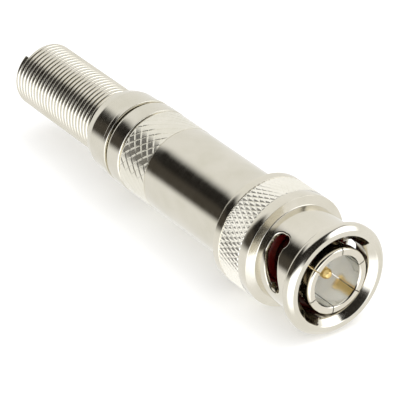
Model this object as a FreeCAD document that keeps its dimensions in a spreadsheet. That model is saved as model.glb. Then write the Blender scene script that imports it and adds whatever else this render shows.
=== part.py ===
import FreeCAD, Part
import Sketcher
import math
import os

# Bayonet cable plug with a screw-on rear shell and a spring strain relief.
# It stands on its mating face: Z runs from the mouth of the nut, at zero,
# to the free end of the spring. All lengths are in millimetres.

doc = FreeCAD.newDocument("cable_plug")
Vector = FreeCAD.Vector

# Sizes

SIZES = [
    # clearances
    ("turning_clearance", 0.05, "radial play where one piece turns on another"),
    ("bore_clearance", 0.08, "radial play of the flange inside the nut"),
    ("seat_clearance", 0.05, "radial play of pieces that rest in a bore"),
    # coupling nut, inside
    ("nut_bore_radius", 4.93, "bore that takes the mating half"),
    ("mouth_flare", 0.82, "mouth of the lead-in cone over the bore"),
    ("mouth_depth", 0.85, "depth of the lead-in cone"),
    ("relief_depth", 0.57, "wide room behind the slots over the bore"),
    ("relief_low", 5.35, "front of that room"),
    ("web_low", 13.3, "front of the inner web"),
    ("web_high", 14.2, "back of the inner web"),
    ("socket_play", 0.15, "recess that covers the shell over the barrel"),
    # coupling nut, outside
    ("neck_wall", 0.45, "wall between the wide room and the neck"),
    ("rim_lip", 1.05, "front rim over the neck"),
    ("rim_round", 0.7, "front rounding of the rim"),
    ("rim_back_height", 1.5, "back of the rim"),
    ("rim_back_round", 0.45, "back rounding of the rim"),
    ("neck_round", 0.5, "hollow between rim and neck"),
    ("shoulder_foot_height", 6.75, "corner where the neck starts to widen"),
    ("shoulder_round", 0.77, "hollow at that corner"),
    ("shoulder_edge_rise", 0.77, "edge between hollow and cone over the neck"),
    ("shoulder_edge_height", 7.42, "edge between hollow and cone"),
    ("cone_top_rise", 1.14, "end of the cone over the neck"),
    ("cone_top_height", 8.05, "end of the cone"),
    ("grip_rise", 1.17, "plain bands of the grip over the neck"),
    ("grip_knurl_low", 9.5, "front end of the fine knurl"),
    ("grip_knurl_high", 13.4, "back end of the fine knurl"),
    ("nut_bevel_height", 14.3, "start of the back bevel"),
    ("nut_bevel_drop", 0.62, "back face under the grip"),
    ("nut_length", 15.0, "back face of the nut"),
    # bayonet slots
    ("keyway_width", 2.35, "entry keyway"),
    ("keyway_depth", 0.67, "floor of the entry keyway over the bore"),
    ("slot_radius", 1.07, "half the width of the slot"),
    ("slot_start_height", 4.42, "slot centre where it breaks through"),
    ("slot_start_turn", 45.5, "degrees from keyway to breakthrough"),
    ("slot_rise_pitch", 12.4, "rise of the ramp in a full turn"),
    ("slot_level_turn", 79.0, "degrees from keyway to the end of the ramp"),
    ("slot_end_turn", 94.2, "degrees from keyway to the end of the slot"),
    ("detent_turn", 96.7, "degrees from keyway to the detent"),
    ("detent_height", 5.1, "centre of the detent"),
    ("detent_radius", 0.85, "detent"),
    ("keyway_azimuth", 174.0, "direction of the first keyway"),
    # outer contact
    ("contact_front", 0.05, "front end of the contact"),
    ("contact_nose_radius", 4.17, "collar at the front"),
    ("contact_nose_length", 1.2, "length of the collar"),
    ("contact_nose", 0.6, "rounding outside the front end"),
    ("contact_lead", 0.15, "radial width of the bevel inside the front end"),
    ("contact_lead_depth", 0.15, "depth of that bevel"),
    ("contact_radius", 3.9, "tube behind the collar"),
    ("contact_tip_bore", 3.2, "bore at the front"),
    ("contact_bore", 3.3, "bore behind"),
    ("contact_slot_width", 0.3, "slot between two fingers"),
    ("contact_slot_height", 6.0, "root of the slots"),
    ("contact_slot_azimuth", 23.0, "direction of the first slot"),
    ("shank_radius", 3.7, "shank pressed into the body"),
    ("shank_high", 14.0, "back end of the shank"),
    # plug body
    ("flange_low", 9.5, "front of the flange"),
    ("flange_high", 11.8, "back of the flange"),
    ("sleeve_radius", 4.25, "sleeve that carries the nut"),
    ("ring_groove_low", 14.25, "groove of the snap ring"),
    ("ring_groove_high", 14.75, "groove of the snap ring"),
    ("ring_groove_radius", 3.95, "floor of that groove"),
    ("thread_low", 15.4, "start of the thread"),
    ("thread_radius", 4.0, "thread, drawn plain at its crest"),
    ("body_high", 20.6, "back end of the body"),
    # inner pieces
    ("gasket_low", 8.2, "front of the gasket"),
    ("gasket_round", 0.25, "front rounding of the gasket"),
    ("wave_height", 1.2, "free height of the wave washer"),
    ("wave_thickness", 0.25, "strip of the wave washer"),
    ("washer_thickness", 0.3, "thrust washer"),
    ("washer_outer_radius", 5.3, "both washers"),
    ("ring_outer_radius", 4.75, "snap ring"),
    ("ring_gap_angle", 36.0, "gap of the snap ring in degrees"),
    ("insulator_front", 5.25, "front face of the insulator"),
    ("insulator_high", 18.0, "back face of the insulator"),
    ("pin_front", 1.6, "tip of the pin"),
    ("pin_radius", 0.66, "pin"),
    ("pin_tip_radius", 0.32, "flat at the tip"),
    ("pin_taper", 0.55, "length of the tip taper"),
    ("pin_root_radius", 0.85, "pin inside the insulator"),
    ("pin_step_height", 13.0, "step behind the pin"),
    ("cup_radius", 1.1, "solder cup"),
    ("cup_bore", 0.55, "hole of the solder cup"),
    ("cup_floor", 19.0, "floor of that hole"),
    ("cup_high", 24.0, "back end of the pin"),
    # cable clamp and sleeve
    ("strip_thickness", 0.45, "strip of the clamp"),
    ("strip_outer_radius", 3.95, "outside of the clamp"),
    ("strip_angle", 60.0, "tail in degrees"),
    ("claw_angle", 225.0, "claws in degrees"),
    ("clamp_collar_high", 21.3, "collar of the clamp"),
    ("clamp_bore", 2.7, "hole of that collar"),
    ("first_claw_low", 25.6, "first claw"),
    ("second_claw_low", 30.4, "second claw"),
    ("claw_length", 2.6, "length of each claw"),
    ("liner_low", 21.8, "insulating sleeve"),
    ("liner_high", 36.0, "insulating sleeve"),
    ("liner_bore", 4.4, "insulating sleeve"),
    # rear shell
    ("shell_low", 14.55, "front end of the shell"),
    ("shell_front_bevel", 0.2, "bevel at the front"),
    ("barrel_radius", 5.6, "plain barrel"),
    ("shell_knurl_low", 30.65, "front end of the coarse knurl"),
    ("shell_knurl_high", 36.1, "back end of the coarse knurl"),
    ("shell_band_radius", 5.66, "band behind the knurl"),
    ("shell_bevel_height", 38.5, "start of the back bevel"),
    ("shell_back_radius", 5.36, "back face of the shell"),
    ("shell_high", 39.1, "back face of the shell"),
    ("shell_recess_radius", 4.9, "front recess over the snap ring"),
    ("shell_cavity_low", 21.0, "front of the cable room"),
    ("shell_cavity_radius", 4.95, "cable room"),
    ("shell_lip_low", 36.9, "inner lip that holds the cap"),
    ("shell_lip_radius", 4.55, "inner lip"),
    # spring cap
    ("cap_low", 36.4, "front end of the cap's spigot"),
    ("cap_flare_radius", 4.85, "flare behind the lip"),
    ("cap_flare_high", 36.8, "back of the flare"),
    ("cap_front", 39.2, "front face of the cap"),
    ("cap_ring_radius", 5.62, "front ring of the cap"),
    ("cap_ring_high", 39.8, "back of that ring"),
    ("cap_radius", 5.5, "cap behind the ring"),
    ("cap_waist_radius", 5.42, "cap where it starts to round"),
    ("cap_waist_height", 42.7, "cap where it starts to round"),
    ("cap_bend_radius", 5.14, "middle of the rounding"),
    ("cap_bend_height", 43.7, "middle of the rounding"),
    ("cap_mouth_radius", 4.72, "back face of the cap"),
    ("cap_high", 44.25, "back face of the cap"),
    ("cap_seat_low", 40.4, "seat of the spring"),
    ("cable_radius", 3.4, "way for the cable through the cap"),
    # spring
    ("spring_radius", 4.43, "outside of the spring"),
    ("coil_pitch", 0.695, "rise of a turn"),
    ("spring_high", 61.8, "free end of the spring"),
    ("coil_valley_radius", 4.21, "valley between two turns"),
    ("coil_bore_radius", 3.75, "inside of the spring"),
]

sheet = doc.addObject("Spreadsheet::Sheet", "dims")
for row, (alias, number, note) in enumerate(SIZES, start=1):
    sheet.set("A%d" % row, alias)
    sheet.set("B%d" % row, str(number))
    sheet.set("C%d" % row, note)
    sheet.setAlias("B%d" % row, alias)
doc.recompute()


def size(text):
    """Value of a formula in the names of the sheet."""
    return float(sheet.evalExpression(text))


def bound(text):
    """The same formula, with each name taken from the sheet."""
    out = ""
    word = ""
    for letter in text + " ":
        if letter.isalpha() or letter == "_":
            word += letter
            continue
        if word in NAMES:
            word = "dims." + word
        out += word + letter
        word = ""
    return out.strip()


NAMES = set(alias for alias, number, note in SIZES)


# Helpers for bodies, sketches and features

def body_named(label):
    """A new body with its label."""
    body = doc.addObject("PartDesign::Body", label)
    body.Label = label
    return body


def base_plane(body, role):
    """One of the body's own base planes."""
    return [item for item in body.Origin.OriginFeatures if item.Role == role][0]


def sketch_on(body, name, role, turn="0"):
    """An empty sketch on a base plane that is turned about Z."""
    sketch = body.newObject("Sketcher::SketchObject", name)
    sketch.AttachmentSupport = [(base_plane(body, role), "")]
    sketch.MapMode = "FlatFace"
    if turn != "0":
        spin = FreeCAD.Rotation(Vector(0, 1, 0), size(turn))
        sketch.AttachmentOffset = FreeCAD.Placement(Vector(0, 0, 0), spin)
        sketch.setExpression(".AttachmentOffset.Rotation.Angle", bound(turn) + " * 1 deg")
    return sketch


def on_axis(line, end, axis):
    """A point held on one of the two axes."""
    return Sketcher.Constraint("PointOnObject", line, end, axis)


def pin_point(sketch, line, end, across, along):
    """Hold one end of a line at a place given by two formulas."""
    for kind, text, axis in (("DistanceX", across, -2), ("DistanceY", along, -1)):
        if abs(size(text)) < 1e-9:
            sketch.addConstraint(on_axis(line, end, axis))
            continue
        number = sketch.addConstraint(
            Sketcher.Constraint(kind, -1, 1, line, end, size(text)))
        sketch.setExpression("Constraints[%d]" % number, bound(text))


def outline(body, name, role, corners, turn="0"):
    """A closed outline of straight sides; each corner is held by formulas."""
    sketch = sketch_on(body, name, role, turn)
    places = [Vector(size(across), size(along), 0) for across, along in corners]
    count = len(places)
    for index in range(count):
        side = Part.LineSegment(places[index], places[(index + 1) % count])
        sketch.addGeometry(side, False)
    for index in range(count):
        before = (index - 1) % count
        sketch.addConstraint(Sketcher.Constraint("Coincident", before, 2, index, 1))
    for index, (across, along) in enumerate(corners):
        pin_point(sketch, index, 1, across, along)
    doc.recompute()
    return sketch


def turned(body, name, corners, angle="360", turn="0", centred=False):
    """A solid turned about Z from an outline given as radius and height."""
    sketch = outline(body, name + "_outline", "XZ_Plane", corners, turn)
    feature = body.newObject("PartDesign::Revolution", name)
    feature.Profile = sketch
    feature.ReferenceAxis = (sketch, ["V_Axis"])
    feature.Midplane = centred
    feature.setExpression("Angle", bound(angle))
    doc.recompute()
    return feature


def pocket_one_way(body, name, sketch, length, toward):
    """A pocket that is cut to the side where it takes material away."""
    feature = body.newObject("PartDesign::Pocket", name)
    feature.Profile = sketch
    feature.setExpression("Length", bound(length))
    feature.Reversed = toward
    doc.recompute()
    return feature


# Coupling nut

nut = body_named("coupling_nut")
relief_radius = "(nut_bore_radius + relief_depth)"
neck_radius = "(nut_bore_radius + relief_depth + neck_wall)"
rim_radius = neck_radius + " + rim_lip"
grip_radius = neck_radius + " + grip_rise"
keyway_floor = "nut_bore_radius + keyway_depth"
turned(nut, "nut_turned", [
    ("nut_bore_radius + mouth_flare", "0"),
    (rim_radius + " - rim_round", "0"),
    (rim_radius + " - 0.293 * rim_round", "0.293 * rim_round"),
    (rim_radius, "rim_round"),
    (rim_radius, "rim_back_height - rim_back_round"),
    (rim_radius + " - 0.293 * rim_back_round", "rim_back_height - 0.293 * rim_back_round"),
    (rim_radius + " - rim_back_round", "rim_back_height"),
    (neck_radius + " + neck_round", "rim_back_height"),
    (neck_radius + " + 0.293 * neck_round", "rim_back_height + 0.293 * neck_round"),
    (neck_radius, "rim_back_height + neck_round"),
    (neck_radius, "shoulder_foot_height - 0.456 * shoulder_round"),
    (neck_radius + " + 0.09 * shoulder_round", "shoulder_foot_height - 0.04 * shoulder_round"),
    (neck_radius + " + 0.343 * shoulder_round", "shoulder_foot_height + 0.299 * shoulder_round"),
    (neck_radius + " + shoulder_edge_rise", "shoulder_edge_height"),
    (neck_radius + " + cone_top_rise", "cone_top_height"),
    (grip_radius, "grip_knurl_low"),
    (grip_radius, "nut_bevel_height"),
    (grip_radius + " - nut_bevel_drop", "nut_length"),
    ("barrel_radius + socket_play", "nut_length"),
    ("barrel_radius + socket_play", "web_high"),
    ("sleeve_radius + turning_clearance", "web_high"),
    ("sleeve_radius + turning_clearance", "web_low"),
    (relief_radius, "web_low"),
    (relief_radius, "relief_low"),
    ("nut_bore_radius", "relief_low"),
    ("nut_bore_radius", "mouth_depth"),
])

keyway_sketch = outline(nut, "keyway_outline", "XY_Plane", [
    ("contact_radius", "-keyway_width / 2"),
    (keyway_floor, "-keyway_width / 2"),
    (keyway_floor, "keyway_width / 2"),
    ("contact_radius", "keyway_width / 2"),
])
keyway_top = "slot_start_height - slot_start_turn * slot_rise_pitch / 360 + slot_radius"
keyway = pocket_one_way(nut, "keyway", keyway_sketch, keyway_top, True)


def ramp(name, start, stop, outer):
    """Helical cut of the slot between two turns from the keyway."""
    middle = "(slot_start_height + (%s - slot_start_turn) * slot_rise_pitch / 360)" % start
    sketch = outline(nut, name + "_section", "XZ_Plane", [
        ("contact_radius", middle + " - slot_radius"),
        (outer, middle + " - slot_radius"),
        (outer, middle + " + slot_radius"),
        ("contact_radius", middle + " + slot_radius"),
    ], start)
    feature = nut.newObject("PartDesign::SubtractiveHelix", name)
    feature.Profile = sketch
    feature.ReferenceAxis = (sketch, ["V_Axis"])
    feature.Mode = "pitch-turns-angle"
    feature.setExpression("Pitch", bound("slot_rise_pitch"))
    feature.setExpression("Turns", bound("(%s - %s) / 360" % (stop, start)))
    doc.recompute()
    return feature


blind_ramp = ramp("blind_ramp", "0", "slot_level_turn", keyway_floor)
open_ramp = ramp("open_ramp", "slot_start_turn", "slot_level_turn", rim_radius)

level_height = "(slot_start_height + (slot_level_turn - slot_start_turn) * slot_rise_pitch / 360)"
level_sketch = outline(nut, "slot_level_section", "XZ_Plane", [
    ("contact_radius", level_height + " - slot_radius"),
    (rim_radius, level_height + " - slot_radius"),
    (rim_radius, level_height + " + slot_radius"),
    ("contact_radius", level_height + " + slot_radius"),
], "slot_level_turn")
slot_level = nut.newObject("PartDesign::Groove", "slot_level")
slot_level.Profile = level_sketch
slot_level.ReferenceAxis = (level_sketch, ["V_Axis"])
slot_level.setExpression("Angle", bound("slot_end_turn - slot_level_turn"))
doc.recompute()


def round_cut(name, turn, height, radius):
    """A round cut through the neck wall, seen from the side."""
    sketch = sketch_on(nut, name + "_circle", "YZ_Plane", turn)
    middle = Vector(0, size(height), 0)
    sketch.addGeometry(Part.Circle(middle, Vector(0, 0, 1), size(radius)), False)
    sketch.addConstraint(Sketcher.Constraint("PointOnObject", 0, 3, -2))
    rise = sketch.addConstraint(Sketcher.Constraint("DistanceY", -1, 1, 0, 3, size(height)))
    sketch.setExpression("Constraints[%d]" % rise, bound(height))
    wide = sketch.addConstraint(Sketcher.Constraint("Radius", 0, size(radius)))
    sketch.setExpression("Constraints[%d]" % wide, bound(radius))
    doc.recompute()
    return pocket_one_way(nut, name, sketch, rim_radius, True)


slot_start = round_cut("slot_start", "slot_start_turn", "slot_start_height", "slot_radius")
slot_end = round_cut("slot_end", "slot_end_turn", level_height, "slot_radius")
detent = round_cut("detent", "detent_turn", "detent_height", "detent_radius")

second_slot = nut.newObject("PartDesign::PolarPattern", "second_slot")
second_slot.Originals = [keyway, blind_ramp, open_ramp, slot_level, slot_start, slot_end, detent]
second_slot.Axis = (keyway_sketch, ["N_Axis"])
second_slot.Angle = 360
second_slot.Occurrences = 2
nut.Tip = second_slot
nut.setExpression(".Placement.Rotation.Angle", bound("keyway_azimuth * 1 deg"))
doc.recompute()


# Outer contact: a tube of six fingers with a collar in front and a shank behind

contact = body_named("outer_contact")
turned(contact, "contact_turned", [
    ("contact_tip_bore", "contact_front + contact_lead_depth"),
    ("contact_tip_bore + contact_lead", "contact_front"),
    ("contact_nose_radius - contact_nose", "contact_front"),
    ("contact_nose_radius - 0.293 * contact_nose", "contact_front + 0.293 * contact_nose"),
    ("contact_nose_radius", "contact_front + contact_nose"),
    ("contact_nose_radius", "contact_front + contact_nose_length"),
    ("contact_radius", "contact_front + contact_nose_length + 0.25"),
    ("contact_radius", "flange_low"),
    ("shank_radius", "flange_low"),
    ("shank_radius", "shank_high"),
    ("contact_bore", "shank_high"),
    ("contact_bore", "insulator_front - 0.25"),
    ("contact_tip_bore", "insulator_front - 0.35"),
])
finger_sketch = outline(contact, "finger_slot_outline", "XY_Plane", [
    ("pin_radius", "-contact_slot_width / 2"),
    ("contact_nose_radius + 0.5", "-contact_slot_width / 2"),
    ("contact_nose_radius + 0.5", "contact_slot_width / 2"),
    ("pin_radius", "contact_slot_width / 2"),
])
finger_slot = pocket_one_way(contact, "finger_slot", finger_sketch, "contact_slot_height", True)
finger_slots = contact.newObject("PartDesign::PolarPattern", "finger_slots")
finger_slots.Originals = [finger_slot]
finger_slots.Axis = (finger_sketch, ["N_Axis"])
finger_slots.Angle = 360
finger_slots.Occurrences = 6
contact.Tip = finger_slots
contact.setExpression(".Placement.Rotation.Angle", bound("contact_slot_azimuth * 1 deg"))
doc.recompute()

# Centre pin with a tapered tip and a solder cup

pin = body_named("centre_pin")
turned(pin, "pin_turned", [
    ("0", "pin_front"),
    ("pin_tip_radius", "pin_front"),
    ("pin_radius", "pin_front + pin_taper"),
    ("pin_radius", "insulator_front - 0.05"),
    ("pin_root_radius", "insulator_front"),
    ("pin_root_radius", "pin_step_height"),
    ("cup_radius", "pin_step_height"),
    ("cup_radius", "cup_high"),
    ("cup_bore", "cup_high"),
    ("cup_bore", "cup_floor"),
    ("0", "cup_floor"),
])

# Insulator and the bead that shuts the pin in

insulator = body_named("insulator")
insulator_bore = "pin_root_radius + turning_clearance"
turned(insulator, "insulator_turned", [
    (insulator_bore, "insulator_front"),
    ("contact_bore - seat_clearance", "insulator_front"),
    ("contact_bore - seat_clearance", "insulator_high"),
    ("cup_radius + turning_clearance", "insulator_high"),
    ("cup_radius + turning_clearance", "pin_step_height"),
    (insulator_bore, "pin_step_height"),
])

bead = body_named("rear_insulator")
turned(bead, "bead_turned", [
    ("cup_radius + turning_clearance", "insulator_high"),
    ("contact_bore - seat_clearance", "insulator_high"),
    ("contact_bore - seat_clearance", "body_high"),
    ("cup_radius + turning_clearance", "body_high"),
])

# Gasket in front of the flange

gasket = body_named("gasket")
gasket_inner = "contact_radius + seat_clearance"
gasket_outer = relief_radius + " - bore_clearance"
turned(gasket, "gasket_turned", [
    (gasket_inner, "gasket_low + gasket_round"),
    (gasket_inner + " + gasket_round", "gasket_low"),
    (gasket_outer + " - gasket_round", "gasket_low"),
    (gasket_outer, "gasket_low + gasket_round"),
    (gasket_outer, "flange_low"),
    (gasket_inner, "flange_low"),
])

# Plug body: flange, sleeve with the ring groove, thread for the shell

plug = body_named("plug_body")
turned(plug, "plug_turned", [
    ("shank_radius", "flange_low"),
    (relief_radius + " - bore_clearance", "flange_low"),
    (relief_radius + " - bore_clearance", "flange_high"),
    ("sleeve_radius", "flange_high"),
    ("sleeve_radius", "ring_groove_low"),
    ("ring_groove_radius", "ring_groove_low"),
    ("ring_groove_radius", "ring_groove_high"),
    ("sleeve_radius", "ring_groove_high"),
    ("sleeve_radius", "thread_low - 0.3"),
    ("thread_radius", "thread_low - 0.05"),
    ("thread_radius", "body_high - 0.3"),
    ("thread_radius - 0.3", "body_high"),
    ("contact_bore", "body_high"),
    ("contact_bore", "shank_high"),
    ("shank_radius", "shank_high"),
])

# Flat thrust washer in front of the nut's web

washer = body_named("thrust_washer")
turned(washer, "washer_turned", [
    ("sleeve_radius + turning_clearance", "web_low - washer_thickness"),
    ("washer_outer_radius", "web_low - washer_thickness"),
    ("washer_outer_radius", "web_low"),
    ("sleeve_radius + turning_clearance", "web_low"),
])

# Wave washer: a strip whose height swings three times around the ring

wave_inner = size("sleeve_radius + turning_clearance")
wave_outer = size("washer_outer_radius")
wave_swing = size("(wave_height - wave_thickness) / 2")
wave_middle = size("flange_high + wave_height / 2")


def wave_edge(radius, lift):
    """Closed smooth curve around the ring at one corner of the strip."""
    places = []
    for step in range(48):
        angle = step * math.tau / 48
        height = wave_middle + wave_swing * math.cos(3 * angle) + lift
        places.append(Vector(radius * math.cos(angle), radius * math.sin(angle), height))
    curve = Part.BSplineCurve()
    curve.interpolate(Points=places, PeriodicFlag=True)
    return curve.toShape()


half_strip = size("wave_thickness / 2")
corners = [
    wave_edge(wave_inner, -half_strip),
    wave_edge(wave_outer, -half_strip),
    wave_edge(wave_outer, half_strip),
    wave_edge(wave_inner, half_strip),
]
sides = [Part.makeRuledSurface(corners[i], corners[(i + 1) % 4]) for i in range(4)]
wave = doc.addObject("Part::Feature", "wave_washer")
wave.Label = "wave_washer"
wave.Shape = Part.Solid(Part.Shell([face for side in sides for face in side.Faces]))
if wave.Shape.Volume < 0:
    wave.Shape = wave.Shape.reversed()

# Snap ring behind the nut's web

ring = body_named("snap_ring")
turned(ring, "ring_turned", [
    ("ring_groove_radius + turning_clearance", "ring_groove_low + 0.03"),
    ("ring_outer_radius", "ring_groove_low + 0.03"),
    ("ring_outer_radius", "ring_groove_high - 0.05"),
    ("ring_groove_radius + turning_clearance", "ring_groove_high - 0.05"),
], "360 - ring_gap_angle")

# Cable clamp: a collar, a curved tail and two pairs of claws

clamp = body_named("cable_clamp")
turned(clamp, "clamp_collar", [
    ("clamp_bore", "body_high"),
    ("strip_outer_radius", "body_high"),
    ("strip_outer_radius", "clamp_collar_high"),
    ("clamp_bore", "clamp_collar_high"),
])
turned(clamp, "clamp_tail", [
    ("strip_outer_radius - strip_thickness", "clamp_collar_high - 0.2"),
    ("strip_outer_radius", "clamp_collar_high - 0.2"),
    ("strip_outer_radius", "second_claw_low + claw_length"),
    ("strip_outer_radius - strip_thickness", "second_claw_low + claw_length"),
], "strip_angle", "0", True)
for claw_name in ("first_claw", "second_claw"):
    turned(clamp, claw_name, [
        ("strip_outer_radius - strip_thickness", claw_name + "_low"),
        ("strip_outer_radius", claw_name + "_low"),
        ("strip_outer_radius", claw_name + "_low + claw_length"),
        ("strip_outer_radius - strip_thickness", claw_name + "_low + claw_length"),
    ], "claw_angle", "0", True)

# Insulating sleeve inside the shell

liner = body_named("insulating_sleeve")
turned(liner, "liner_turned", [
    ("liner_bore", "liner_low"),
    ("shell_cavity_radius - seat_clearance", "liner_low"),
    ("shell_cavity_radius - seat_clearance", "liner_high"),
    ("liner_bore", "liner_high"),
])

# Rear shell

shell = body_named("rear_shell")
turned(shell, "shell_turned", [
    ("shell_recess_radius", "shell_low"),
    ("barrel_radius - shell_front_bevel", "shell_low"),
    ("barrel_radius", "shell_low + shell_front_bevel"),
    ("barrel_radius", "shell_knurl_high"),
    ("shell_band_radius", "shell_knurl_high + 0.1"),
    ("shell_band_radius", "shell_bevel_height"),
    ("shell_back_radius", "shell_high"),
    ("shell_lip_radius", "shell_high"),
    ("shell_lip_radius", "shell_lip_low"),
    ("shell_cavity_radius", "shell_lip_low"),
    ("shell_cavity_radius", "shell_cavity_low"),
    ("thread_radius + turning_clearance", "shell_cavity_low"),
    ("thread_radius + turning_clearance", "thread_low"),
    ("shell_recess_radius", "thread_low"),
])

# Spring cap: a flared spigot that turns in the shell and a rounded seat

cap = body_named("spring_ferrule")
turned(cap, "cap_turned", [
    ("cable_radius", "cap_low"),
    ("cap_flare_radius", "cap_low"),
    ("cap_flare_radius", "cap_flare_high"),
    ("shell_lip_radius - turning_clearance", "cap_flare_high + 0.05"),
    ("shell_lip_radius - turning_clearance", "cap_front"),
    ("cap_ring_radius - 0.1", "cap_front"),
    ("cap_ring_radius", "cap_front + 0.1"),
    ("cap_ring_radius", "cap_ring_high"),
    ("cap_radius", "cap_ring_high + 0.15"),
    ("cap_waist_radius", "cap_waist_height"),
    ("cap_bend_radius", "cap_bend_height"),
    ("cap_mouth_radius", "cap_high"),
    ("spring_radius + seat_clearance", "cap_high"),
    ("spring_radius + seat_clearance", "cap_seat_low"),
    ("cable_radius", "cap_seat_low"),
])

# Spring: a close-wound coil, drawn as a tube with one ridge for each turn in view

spring = body_named("strain_relief_spring")
coil_corners = [
    ("coil_bore_radius", "spring_high"),
    ("coil_bore_radius", "cap_seat_low"),
    ("spring_radius", "cap_seat_low"),
]
turns_in_view = int(size("(spring_high - cap_high) / coil_pitch"))
for turn in range(turns_in_view, -1, -1):
    coil_corners.append(("coil_valley_radius", "spring_high - coil_pitch * %d" % turn))
    if turn:
        coil_corners.append(("spring_radius", "spring_high - coil_pitch * (%d - 0.5)" % turn))
turned(spring, "coil_turned", coil_corners)
doc.recompute()

# Check every object, then write one file for each piece

PIECES = [
    nut, contact, pin, insulator, bead, gasket, plug, washer, wave, ring,
    clamp, liner, shell, cap, spring,
]
for item in doc.Objects:
    for state in item.State:
        if state in ("Invalid", "Error"):
            raise RuntimeError("%s is %s" % (item.Label, state))
os.makedirs("parts", exist_ok=True)
for piece in PIECES:
    if piece.Shape.isNull() or not piece.Shape.isValid():
        raise RuntimeError("%s has no sound shape" % piece.Label)
    if len(piece.Shape.Solids) != 1:
        raise RuntimeError("%s isn't one solid" % piece.Label)
    piece.Shape.exportStep("parts/%s.step" % piece.Label)
    box = piece.Shape.BoundBox
    print("%-22s volume %8.2f  z %6.2f to %6.2f  radius %5.2f" % (
        piece.Label, piece.Shape.Volume, box.ZMin, box.ZMax, box.XMax))
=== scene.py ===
import math

import bpy
import numpy as np
from bpy.props import FloatProperty, IntProperty, PointerProperty
from mathutils import Matrix, Vector


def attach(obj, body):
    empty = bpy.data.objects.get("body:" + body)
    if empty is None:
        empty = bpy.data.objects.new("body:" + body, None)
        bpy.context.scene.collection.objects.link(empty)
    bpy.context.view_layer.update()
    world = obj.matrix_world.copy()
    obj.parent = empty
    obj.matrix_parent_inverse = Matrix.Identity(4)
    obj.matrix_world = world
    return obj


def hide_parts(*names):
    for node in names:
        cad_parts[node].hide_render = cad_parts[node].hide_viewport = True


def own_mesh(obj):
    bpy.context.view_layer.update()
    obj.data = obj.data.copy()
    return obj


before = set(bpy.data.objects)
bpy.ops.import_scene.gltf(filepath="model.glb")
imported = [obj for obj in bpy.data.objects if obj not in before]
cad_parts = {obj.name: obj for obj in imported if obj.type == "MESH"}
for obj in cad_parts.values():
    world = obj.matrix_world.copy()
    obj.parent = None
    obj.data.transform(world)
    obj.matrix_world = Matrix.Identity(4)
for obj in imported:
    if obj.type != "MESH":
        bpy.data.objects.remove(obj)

bl_info = {
    "name": "Bayonet cable plug",
    "version": (1, 0, 0),
    "blender": (4, 5, 0),
    "location": "3D View > Sidebar > Plug",
    "description": "Builds the surfaces, finishes and stage of a bayonet cable plug around its solids",
    "category": "Object",
}

# One millimetre in metres
MM = 0.001


# Profiles: plain lists of radius and height in millimetres

def arc(centre, radius, start, stop, steps):
    """Points on a circle: centre plus radius times cosine and sine, angles in degrees."""
    angle = np.radians(np.linspace(start, stop, steps))
    return np.stack([centre[0] + radius * np.cos(angle), centre[1] + radius * np.sin(angle)], 1)


def softened(points, radii, steps=6, closed=False):
    """A polyline whose corners are replaced by arcs.

    At each corner the arc touches both sides at radius times the tangent of half the turn,
    cut to 45 percent of the shorter side. A radius of 0 keeps the corner.
    """
    points = np.array(points, float)
    count = len(points)
    out = []
    for i in range(count):
        radius = radii[i]
        if radius <= 0 or (not closed and i in (0, count - 1)):
            out.append(points[i:i + 1])
            continue
        back = points[i - 1] - points[i]
        on = points[(i + 1) % count] - points[i]
        long_back, long_on = np.linalg.norm(back), np.linalg.norm(on)
        back, on = back / long_back, on / long_on
        half = 0.5 * math.acos(float(np.clip(-(back @ on), -1, 1)))
        if half < 0.02:
            out.append(points[i:i + 1])
            continue
        reach = min(radius * math.tan(half), 0.45 * long_back, 0.45 * long_on)
        radius = reach / math.tan(half)
        first, last = points[i] + back * reach, points[i] + on * reach
        inward = back + on
        centre = points[i] + inward / np.linalg.norm(inward) * radius / math.cos(half)
        a0 = math.atan2(*(first - centre)[::-1])
        a1 = math.atan2(*(last - centre)[::-1])
        turn = (a1 - a0 + math.pi) % (2 * math.pi) - math.pi
        angle = a0 + turn * np.linspace(0, 1, steps)
        out.append(centre + radius * np.stack([np.cos(angle), np.sin(angle)], 1))
    return np.concatenate(out)


def densified(points, step, closed=False):
    """The same polyline with every side cut into equal parts no longer than step."""
    points = np.array(points, float)
    after = np.roll(points, -1, 0) if closed else points[1:]
    before = points if closed else points[:-1]
    parts = np.maximum(1, np.ceil(np.linalg.norm(after - before, axis=1) / step)).astype(int)
    pieces = [a + (b - a) * np.linspace(0, 1, n, endpoint=False)[:, None]
              for a, b, n in zip(before, after, parts)]
    if not closed:
        pieces.append(points[-1:])
    return np.concatenate(pieces)


def run_length(points):
    """Distance walked along a polyline up to each point."""
    return np.concatenate([[0], np.cumsum(np.linalg.norm(np.diff(points, axis=0), axis=1))])


def at_lengths(want, line, length):
    """Points of a polyline at the wanted lengths, where length holds the length at each point."""
    return np.stack([np.interp(want, length, line[:, i]) for i in (0, 1)], 1)


def at_rows(row, profile):
    """Radius and height of a profile at whole or part rows."""
    index = np.arange(len(profile))
    return np.interp(row, index, profile[:, 0]), np.interp(row, index, profile[:, 1])


# Meshes

# Angles in degrees above which an edge stays sharp
SHARP_ANGLE = 32.0
WALL_SHARP = 28.0
KNURL_SHARP = 18.0
WIRE_SHARP = 40.0

# Lathe lines of a wall: the radius in millimetres at which the distance around is taken, and
# the share of the radius that is added to the height for the distance along
LINES_RADIUS = 5.5
LINES_SHARE = 0.6

# Length in millimetres over which the painted colour of a bore comes in: painted shade in the nut, painted
# light in the contact
SHADE_LENGTH = 0.5


def placed(name, data):
    """A new object in the scene."""
    made = bpy.data.objects.new(name, data)
    bpy.context.scene.collection.objects.link(made)
    return made


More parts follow.
